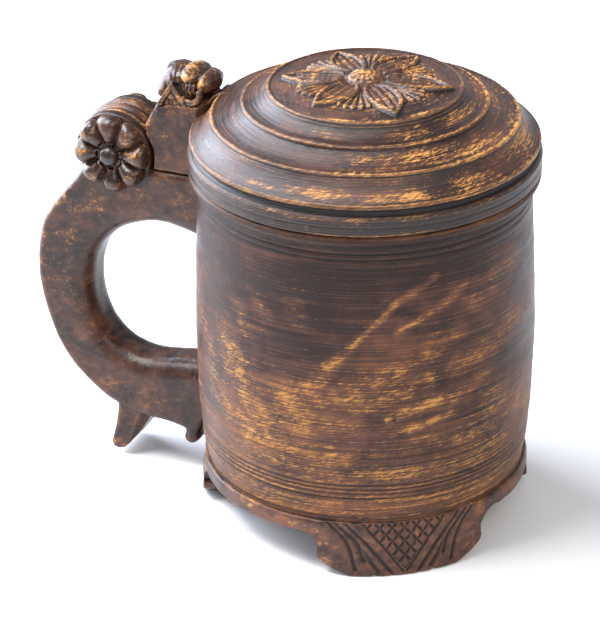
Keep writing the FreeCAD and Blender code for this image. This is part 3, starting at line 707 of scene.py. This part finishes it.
def arm_field(x, y, z):
    across = np.abs(y)
    plan = HALF_WIDTH - 8.5 * smooth_step(-88, -74, x) - 6.0 * np.clip((x + 74.0) / 3.0, 0, 1) ** 2
    block = thick(flat_distance(x, z, arm_outline()), y, plan, 0.9)
    corner = tapered(x, across, z, (-114.0, 11.8, 199.0), (-108.4, 12.6, 209.4), 1.9, 1.5)
    block = blend(block, corner, 1.4)
    wave = 209.9 + 0.35 * np.sin((x + 104) * 1.15)
    bead = tapered(x, across, z - wave + 210.0, (-107.5, 13.0, 210.0), (-87.5, 13.0, 211.2), 1.4, 1.5)
    block = blend(block, bead, 0.7)
    ears = thick(hinge_distance(x, z) - ARM_SCOOP + 0.1, across - 14.0, 5.0, 0.2)
    block = np.maximum(block, -ears)
    rings = 0.8 * np.cos(across * 2 * math.pi / 6.6)
    crown = KNUCKLE_R - rings - 0.9 * smooth_step(7.4, KNUCKLE_HALF, across)
    knuckle = np.maximum(hinge_distance(x, z) - crown, across - KNUCKLE_HALF)
    web_outline = np.array([(-128.5, ARM_LOW), (-108.5, ARM_LOW), (-108.5, 196.5), (-119.0, 196.0),
                            (-128.5, 190.5)])
    web = thick(flat_distance(x, z, web_outline), y, KNUCKLE_HALF, 0.5)
    shape = blend(blend(block, web, 0.8), knuckle, 0.8)
    rim = np.sqrt(x * x + y * y) - 89.8
    shape = np.where(z < LID_LOW, np.maximum(shape, -rim), shape)
    return shape + 0.07 * ripple(52, 8.0, x, y, z)


def bud_lobes(x, y, z):
    """The bud's core and its creased lobes."""
    shape = ball(x, y, z, (0.5, 0, -1.0), (12.0, 10.8, 9.4))
    lobes = (
        (-5.6, 5.4, 7.6, 6.0, 11.4, -0.10), (3.8, 7.0, 6.6, 4.7, 12.4, 0.05),
        (12.2, 3.4, 5.4, 5.9, 11.6, 0.15), (-11.4, -2.8, 5.0, 5.8, 10.8, 0.0),
    )
    for cx, cz, rx, rz, ry, lean in lobes:
        lobe = ball(x + lean * y, y, z + 0.10 * y - 0.8, (cx, 0, cz), (rx, ry, rz))
        crease = 0.35 * np.exp(-((x + lean * y - cx - 1.5) / 0.9) ** 2) * smooth_step(3, 9, y)
        shape = blend(shape, lobe + crease, 0.8)
    return shape


def bud_lip(x, y, z):
    """A rolled lip that curls round under the seed."""
    away = np.sqrt((x - 5.0) ** 2 + (z - 1.0) ** 2)
    lip = np.sqrt((away - 5.9) ** 2 + (y - 12.3 - 0.10 * (x - 5.0)) ** 2) - 1.75
    return np.maximum(lip, 1.0 - (x - 5.0) * 0.5 + (z - 1.0))


def bud_leaf(x, y, z):
    """A pointed leaf beside the seed, with raised borders."""
    tip_x, tip_z = -4.6, 4.8
    drop = np.clip((tip_z - z) / 11.0, 0, 1)
    left_half, right_half = 7.4 * drop**0.9, 8.6 * drop**0.95
    side_gap = np.where(x < tip_x, tip_x - x - left_half, x - tip_x - right_half)
    leaf = np.maximum(side_gap, np.abs(y - 11.6 - 0.10 * (4.4 - z)) - 1.8)
    leaf = np.maximum(np.maximum(leaf, z - tip_z), -7.5 - z)
    middle = np.maximum(side_gap + 2.7, 11.2 + 0.10 * (4.4 - z) - y)
    return carve(leaf, middle, 0.6)


def bud_collar(x, y, z):
    """The ruffled collar that the bud sits on."""
    outline = np.array([(-13.2, -9.0), (12.8, -8.4), (11.4, -4.8), (-11.6, -5.2)])
    ruffle = 0.40 * np.cos(x * 2 * math.pi / 5.2) + 0.22 * np.cos(x * 2 * math.pi / 2.1 + z)
    return thick(flat_distance(x, z, outline), y, 12.7, 1.6) + ruffle * smooth_step(9.0, 12.0, y)


def bud_field(x, y, z):
    x, z = x - BUD[0], z - BUD[1]
    y = np.abs(y)
    mouth = ball(x, y, z, (5.0, 13.8, 1.0), (5.6, 4.8, 5.4))
    shape = carve(bud_lobes(x, y, z), mouth, 0.5)
    seed = ball(x, y, z, (4.2, 9.0, 2.2), (4.4, 3.6, 3.6)) + 0.38 * np.cos((x - 4.2) * math.pi)
    shape = blend(shape, seed, 0.3)
    shape = blend(shape, bud_leaf(x, y, z), 0.7)
    shape = blend(shape, bud_lip(x, y, z), 0.6)
    shape = blend(shape, bud_collar(x, y, z), 1.1)
    base = np.array([(-12.0, -13.0), (12.0, -13.0), (12.0, -7.0), (-12.0, -7.0)])
    shape = np.minimum(shape, thick(flat_distance(x, z, base), y, 12.0, 1.0))
    return shape + 0.14 * ripple(61, 5.0, x, y, z) + 0.05 * ripple(62, 1.8, x, y, z)


def rosette_field(side):
    """Eight ridged petals round the pin's knob, on the ear's outer face."""
    def field(x, y, z):
        u, w = x - HINGE[0], z - HINGE[1]
        out = side * y - HALF_WIDTH
        reach = np.sqrt(u * u + w * w)
        turn = (np.arctan2(w, u) - math.radians(3.0)) * ROSETTE_PETALS / (2 * math.pi)
        off = np.abs((turn + 0.5) % 1 - 0.5) * 2
        edge = 21.1 - 2.4 * off**3
        roll = np.sqrt(1 - np.clip((reach - 13.5) / (edge - 13.5), 0, 0.999) ** 2.8)
        crest = 4.6 + 2.8 * smooth_step(6.0, 15.0, reach)
        top = crest * (1 - 0.66 * off**2.4) * roll + 0.3
        shape = np.maximum(out - top, reach - edge) * 0.72
        ring = np.sqrt((reach - 6.2) ** 2 + (out - 4.6) ** 2) - 1.5
        shape = carve(shape, ring, 0.8)
        shape = np.maximum(shape, -out)
        return shape + 0.07 * ripple(70 + side, 4.0, x, y, z)
    return field


def knob_field(side):
    """Domed end of the pin. The near end carries the whole shaft."""
    def field(x, y, z):
        out = side * y - HALF_WIDTH
        head = ball(x, out, z, (HINGE[0], 4.6, HINGE[1]), (KNOB_R, 4.6, KNOB_R))
        radial = hinge_distance(x, z)
        stem = np.maximum(radial - 4.4, np.abs(out - 2.0) - 3.0)
        if side < 0:
            stem = np.minimum(stem, np.maximum(radial - PIN_R, np.abs(out + 15.7) - 18.2))
        return blend(head, stem, 0.5) + 0.05 * ripple(80 + side, 3.0, x, y, z)
    return field


def spot_wear(points, spots, ground=0.0):
    """Worn patches given as (x, z, size, strength) in mm, and y if a patch is not right across."""
    total = np.full(len(points), ground)
    for x, z, size, strength, *y in spots:
        away = (points[:, 0] - x) ** 2 + (points[:, 2] - z) ** 2
        if y:
            away = away + (points[:, 1] - y[0]) ** 2
        total = np.maximum(total, strength * np.exp(-away / size**2))
    return total


def handle_wear(points):
    spots = [(-168, 151, 6, 0.9), (-176, 140, 5, 0.95), (-181, 127, 5, 0.8), (-183, 112, 4, 0.6),
             (-158, 143, 10, 0.5), (-146, 150, 8, 0.45), (-164, 128, 7, 0.5), (-120, 160, 7, 0.4),
             (-100, 160, 7, 0.35), (-181, 84, 4, 0.5), (-172, 62, 4, 0.4), (-140, 44, 9, 0.3),
             (-166, 100, 9, 0.3), (-118, 38, 8, 0.3), (-150, 42, 5, 0.3), (-141, 8, 4, 0.6)]
    worn = spot_wear(points, spots, 0.05)
    on_ear = (hinge_distance(points[:, 0], points[:, 2]) < 23.0) & (points[:, 2] > 162)
    return np.where(on_ear, -0.7, worn)


def make_handle(wood):
    points, quads = skin(handle_field, (-188, -16, 2), (-78, 16, 205), 0.9)
    new_piece("carved_handle", points, quads, "vessel", wood, ["handle"], handle_wear(points))


def make_lid_arm(wood):
    points, quads = skin(arm_field, (-160, -16, 155), (-60, 16, 227), 0.65)
    spots = [(-150, 196, 9, 0.5), (-134, 203, 8, 0.6), (-118, 199, 6, 0.8), (-96, 209, 6, 0.4)]
    new_piece("carved_lid_arm", points, quads, "lid", wood, ["lid_arm"],
              spot_wear(points, spots))


def make_bud(wood):
    points, quads = skin(bud_field, (-120, -15.4, 204), (-74, 15.4, 236), 0.42)
    spots = [(-93, 230, 6, 1.0), (-85, 225, 5, 0.8), (-90, 217, 3.5, 1.0, -12), (-90, 217, 3.5, 1.0, 12),
             (-103, 217, 4, 0.8), (-97, 216, 3.5, 0.8), (-104, 226, 4, 0.6, 4)]
    new_piece("flower_bud", points, quads, "lid", wood, ["thumbpiece"],
              spot_wear(points, spots))


def make_rosette(wood, label, side):
    hx, hz = HINGE
    low_y, high_y = (13.5, 25.0) if side > 0 else (-25.0, -13.5)
    points, quads = skin(rosette_field(side), (hx - 23, low_y, hz - 23), (hx + 23, high_y, hz + 23), 0.4)
    spots = [(hx + 15, hz + 3, 5, 0.8), (hx + 11, hz + 9, 5, 0.6), (hx - 17, hz, 5, 0.7),
             (hx + 8, hz - 14, 6, 0.45), (hx - 9, hz - 13, 6, 0.45),
             (hx - 12, hz + 9, 5, 0.6), (hx, hz + 13, 4, 0.5)]
    new_piece(label + "_flower", points, quads, "vessel", wood, [label + "_rosette"],
              spot_wear(points, spots))


def make_pin_end(wood, name, node, side):
    hx, hz = HINGE
    low_y, high_y = (12.5, 26.0) if side > 0 else (-26.0, 20.4)
    points, quads = skin(knob_field(side), (hx - 7, low_y, hz - 7), (hx + 7, high_y, hz + 7), 0.35)
    new_piece(name, points, quads, "vessel", wood, [node], np.full(len(points), -0.4))


# ---- materials

class Nodes:
    """Short names for building one material's nodes."""

    def __init__(self, name):
        self.material = bpy.data.materials.new(name)
        self.material.use_nodes = True
        self.tree = self.material.node_tree
        self.shader = self.tree.nodes["Principled BSDF"]

    def add(self, kind, **settings):
        node = self.tree.nodes.new(kind)
        for key, value in settings.items():
            setattr(node, key, value)
        return node

    def put(self, source, socket):
        if isinstance(source, (int, float)):
            socket.default_value = source
        elif isinstance(source, tuple):
            socket.default_value = source if len(source) == len(socket.default_value) else (*source, 1)
        else:
            self.tree.links.new(source, socket)

    def fill(self, node, *values):
        """Put values into a node's first inputs and give its first output."""
        for value, socket in zip(values, node.inputs):
            self.put(value, socket)
        return node.outputs[0]

    def object_place(self):
        """The object's own coordinates, whole and as x, y and z."""
        place = self.add("ShaderNodeTexCoord").outputs["Object"]
        split = self.add("ShaderNodeSeparateXYZ")
        self.fill(split, place)
        return place, split.outputs

    def math(self, kind, a, b=0.0):
        return self.fill(self.add("ShaderNodeMath", operation=kind), a, b)

    def plus(self, a, b):
        return self.math("ADD", a, b)

    def times(self, a, b):
        return self.math("MULTIPLY", a, b)

    def ramp(self, value, low, high, to_low=0.0, to_high=1.0):
        node = self.add("ShaderNodeMapRange", interpolation_type="SMOOTHSTEP")
        return self.fill(node, value, low, high, to_low, to_high)

    def mix(self, factor, a, b):
        node = self.add("ShaderNodeMix", data_type="RGBA")
        self.put(factor, node.inputs[0])
        self.put(a, node.inputs[6])
        self.put(b, node.inputs[7])
        return node.outputs[2]

    def noise(self, vector, scale, detail=3.0, rough=0.55, distort=0.0):
        node = self.add("ShaderNodeTexNoise")
        for socket, value in (("Vector", vector), ("Scale", scale), ("Detail", detail),
                              ("Roughness", rough), ("Distortion", distort)):
            self.put(value, node.inputs[socket])
        return node.outputs["Fac"]

    def attribute(self, name):
        return self.add("ShaderNodeAttribute", attribute_name=name).outputs["Fac"]

    def vector(self, x, y, z):
        return self.fill(self.add("ShaderNodeCombineXYZ"), x, y, z)

    def bump(self, height, strength, distance):
        node = self.add("ShaderNodeBump")
        node.inputs["Strength"].default_value = strength
        node.inputs["Distance"].default_value = distance
        self.put(height, node.inputs["Height"])
        self.put(node.outputs[0], self.shader.inputs["Normal"])


def scaled(colour, amount):
    return tuple(v * amount for v in colour)


def tool_marks(n, turned, x, y, z):
    """Fine lines, bands, flakes and dashes: round the vessel's axis if turned, else cut by hand."""
    # stretch across, stretch along, what it runs along, detail, roughness, distortion
    marks = ((160.0, 260.0, z, 4.0, 0.66, 0.6), (60.0, 70.0, z, 4.0, 0.6, 0.8),
             (130.0, 110.0, z, 7.0, 0.80, 0.8), (560.0, 640.0, z, 3.0, 0.70, 0.6))
    if turned:
        out_x = n.math("SUBTRACT", x, AXIS_X)
        radius = n.math("SQRT", n.plus(n.times(out_x, out_x), n.times(y, y)))
        level = n.math("SUBTRACT", z, n.times(radius, 0.9))
        slant = n.plus(z, n.times(x, -0.30))
        marks = ((14.0, 1200.0, level, 4.0, 0.70, 0.0), (26.0, 150.0, level, 4.0, 0.6, 0.0),
                 (75.0, 190.0, slant, 7.0, 0.80, 0.5), (240.0, 1500.0, slant, 3.0, 0.70, 0.4))
    return [n.noise(n.vector(n.times(x, across), n.times(y, across), n.times(axis, along)), 1.0, *look)
            for across, along, axis, *look in marks]


def worn_wood(name, tone, sheen, rich, turned=False, gold=0.5, edge=0.8, gloss=0.32, keen=1.2):
    """Dark stained wood rubbed back to gold on its edges.

    turned: tool marks run round the vessel's axis; otherwise the wood is cut by hand.
    gold, edge: how much wear there is in patches and on edges. keen: how sharp an edge must be.
    tone, rich: brightness of the stain and of the worn wood.
    gloss: least roughness. sheen: strength of the gloss."""
    n = Nodes(name)
    place, (x, y, z) = n.object_place()
    fine_lines, bands, flake, dash = tool_marks(n, turned, x, y, z)
    blotch = n.noise(place, 24.0, 5.0, 0.65, 0.8)
    speck = n.noise(place, 1100.0, 2.0, 0.6)
    fine, wide, wear_and_painted_shade = n.attribute("fine"), n.attribute("broad"), n.attribute("wear_and_painted_shade")

    dark = scaled((0.0175, 0.0082, 0.0068), tone)
    brown = scaled((0.068, 0.0285, 0.0175), tone)
    russet = scaled((0.180, 0.066, 0.0290), tone)
    # Stain tone from blotches, bands and lines, darkened by painted shade where the wear value is below zero.
    shade = n.plus(n.plus(n.times(blotch, 0.6), n.times(bands, 0.5)), n.times(wear_and_painted_shade, 0.16))
    shade = n.plus(shade, n.times(n.math("SUBTRACT", fine_lines, 0.5), 0.5))
    stain = n.mix(n.ramp(shade, 0.42, 0.66), dark, brown)
    stain = n.mix(n.ramp(shade, 0.60, 0.84, 0.0, 0.9), stain, russet)

    grit = n.plus(n.times(flake, 0.52), n.times(n.ramp(dash, 0.34, 0.66), 0.27))
    grit = n.plus(grit, n.times(n.ramp(fine_lines, 0.34, 0.66), 0.21))
    patchy = n.plus(n.times(wear_and_painted_shade, 0.5), n.noise(place, 21.0, 4.0, 0.7, 0.5))
    rubbed = n.times(n.ramp(fine, 0.012 * keen, 0.085 * keen), edge)
    rubbed = n.times(rubbed, n.times(n.ramp(patchy, 0.36, 0.70, 0.25, 1.0), n.ramp(grit, 0.30, 0.58)))
    cloud = n.ramp(n.noise(place, 13.0, 4.0, 0.6, 0.9), 0.45, 0.75)
    pull = n.plus(n.times(n.math("MAXIMUM", wear_and_painted_shade, 0.0), 0.30), n.times(cloud, 0.12 * gold))
    pull = n.plus(pull, n.times(n.ramp(wide, 0.10, 0.60), 0.10 * edge))
    reach = n.plus(grit, pull)
    patch_low, patch_high = (0.64, 0.86) if turned else (0.62, 0.98)
    worn = n.math("MINIMUM", n.math("MAXIMUM", rubbed, n.ramp(reach, patch_low, patch_high)), 1.0)
    # Where the wear value is below zero, painted shade also holds back the gold.
    worn = n.times(worn, n.ramp(wear_and_painted_shade, -0.9, -0.2, 0.35, 1.0))

    amber = n.mix(n.ramp(reach, 0.62, 0.95), scaled((0.235, 0.098, 0.028), rich),
                  scaled((0.60, 0.285, 0.068), rich))
    colour = n.mix(n.times(worn, 0.92), stain, amber)
    # Hollows go almost black: dark stain gathered there, deepened with painted shade.
    hollow = n.times(n.ramp(fine, -0.008, -0.080), 0.94)
    deep = n.times(n.ramp(wide, -0.08, -0.60), 0.80)
    colour = n.mix(n.math("MAXIMUM", hollow, deep), colour, (0.0050, 0.0034, 0.0030))
    if turned:
        score = n.times(n.ramp(fine_lines, 0.42, 0.30), 0.6)
        colour = n.mix(score, colour, scaled(dark, 0.7))
    n.put(colour, n.shader.inputs["Base Color"])

    rough = n.plus(n.ramp(bands, 0.3, 0.7, gloss, gloss + 0.16), n.times(worn, 0.14))
    n.put(rough, n.shader.inputs["Roughness"])
    n.shader.inputs["Specular IOR Level"].default_value = sheen
    height = n.plus(n.plus(n.times(fine_lines, 0.9), n.times(speck, 0.22)), n.times(grit, 0.7))
    n.bump(height, 0.6 if turned else 0.35, 0.00045)
    return n.material


def raw_wood(name):
    """Plain board and dowels, with the grain along X, dulled by use."""
    n = Nodes(name)
    place, (x, y, z) = n.object_place()
    grain = n.vector(n.times(x, 14.0), n.times(y, 520.0), n.times(z, 520.0))
    lines = n.noise(grain, 1.0, 4.0, 0.6, 0.3)
    cloud = n.noise(place, 30.0, 3.0)
    colour = n.mix(n.ramp(lines, 0.35, 0.65), (0.085, 0.040, 0.017), (0.21, 0.105, 0.045))
    colour = n.mix(n.times(n.ramp(cloud, 0.5, 0.7), 0.6), colour, (0.05, 0.024, 0.012))
    n.put(colour, n.shader.inputs["Base Color"])
    n.put(n.ramp(lines, 0.3, 0.7, 0.72, 0.55), n.shader.inputs["Roughness"])
    n.bump(lines, 0.4, 0.0003)
    return n.material


def floor_surface():
    n = Nodes("pale_floor")
    n.shader.inputs["Base Color"].default_value = (0.90, 0.90, 0.90, 1)
    n.shader.inputs["Roughness"].default_value = 0.9
    n.shader.inputs["Specular IOR Level"].default_value = 0.1
    return n.material


# ---- studio

def make_floor():
    mesh = bpy.data.meshes.new("floor")
    half = 6.0
    corners = [(half * x, half * y, 0) for x, y in ((-1, -1), (1, -1), (1, 1), (-1, 1))]
    mesh.from_pydata(corners, [], [(0, 1, 2, 3)])
    floor = bpy.data.objects.new("floor", mesh)
    bpy.context.scene.collection.objects.link(floor)
    mesh.materials.append(floor_surface())
    floor.location.z = -0.0001


def softbox(name, place, size, power, colour):
    """Area light aimed at the middle of the tankard. place is (turn, rise, distance).

    The turn is in degrees from the tankard's front, positive toward +X."""
    turn, rise, distance = math.radians(90.0 + FRONT + place[0]), math.radians(place[1]), place[2]
    lamp = bpy.data.lights.new(name, "AREA")
    lamp.shape = "RECTANGLE"
    lamp.size, lamp.size_y = size
    lamp.energy = power
    lamp.color = colour
    obj = bpy.data.objects.new(name, lamp)
    away = Vector((math.sin(turn) * math.cos(rise), -math.cos(turn) * math.cos(rise), math.sin(rise)))
    obj.location = Vector((AXIS_X, 0, 0.12)) + away * distance
    obj.rotation_euler = away.to_track_quat("Z", "Y").to_euler()
    bpy.context.scene.collection.objects.link(obj)


def make_light():
    scene = bpy.context.scene
    scene.view_settings.view_transform = "Standard"
    world = bpy.data.worlds.new("studio")
    scene.world = world
    world.use_nodes = True
    back = world.node_tree.nodes["Background"]
    back.inputs[0].default_value = (0.84, 0.89, 1.0, 1)
    back.inputs[1].default_value = 0.55
    softbox("key", (-74, 62, 1.5), (0.7, 0.7), 30, (0.98, 0.98, 1.0))
    softbox("left", (-122, 24, 1.4), (1.0, 1.3), 54, (0.80, 0.86, 1.0))
    softbox("front", (30, 40, 1.8), (0.8, 0.8), 12, (1.0, 0.93, 0.82))


def make_camera():
    """Camera above and to the front, turned 23.4 degrees round and tipped 27 degrees down."""
    turn, tip, roll = (math.radians(a) for a in (23.434, 63.034, -0.666))
    data = bpy.data.cameras.new("camera")
    camera = bpy.data.objects.new("camera", data)
    bpy.context.scene.collection.objects.link(camera)
    aim = Matrix.Rotation(turn, 4, "Z") @ Matrix.Rotation(tip, 4, "X") @ Matrix.Rotation(roll, 4, "Z")
    place = Vector((0.550948, -1.243974, 0.788064))
    camera.matrix_world = Matrix.Translation(place) @ aim
    data.lens = 166.86
    data.sensor_width = 36.0
    data.clip_start = 0.05
    bpy.context.scene.camera = camera


def dress_cad_nodes(material):
    """Board and dowels keep their CAD meshes and get a wood finish."""
    for name in ("bottom_board", "upper_handle_dowel", "lower_handle_dowel", "near_arm_dowel",
                 "far_arm_dowel", "thumbpiece_dowel"):
        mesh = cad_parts[name].data
        mesh.materials.clear()
        mesh.materials.append(material)


def make_pieces():
    make_vessel(worn_wood("vessel_wood", tone=1.35, sheen=0.22, rich=0.85, turned=True, gold=0.55,
                          edge=0.55, keen=1.0))
    make_foot_ring(worn_wood("foot_wood", tone=1.4, sheen=0.35, rich=0.8, gold=0.6, edge=0.45))
    make_lid(worn_wood("lid_wood", tone=0.9, sheen=0.45, rich=1.1, turned=True, gold=0.6, edge=1.1,
                       gloss=0.26, keen=1.5))
    handle_wood = worn_wood("handle_wood", tone=0.92, sheen=0.32, rich=0.85, gloss=0.24)
    make_handle(handle_wood)
    make_lid_arm(handle_wood)
    carved_wood = worn_wood("carved_wood", tone=0.8, sheen=0.5, rich=0.9, gloss=0.18)
    make_bud(carved_wood)
    make_rosette(carved_wood, "near", -1)
    make_pin_end(carved_wood, "pin_head", "hinge_pin", -1)
    make_rosette(carved_wood, "far", 1)
    make_pin_end(carved_wood, "pin_knob_end", "pin_knob", 1)
    dress_cad_nodes(raw_wood("raw_wood"))


make_camera()
make_light()
make_floor()
make_pieces()
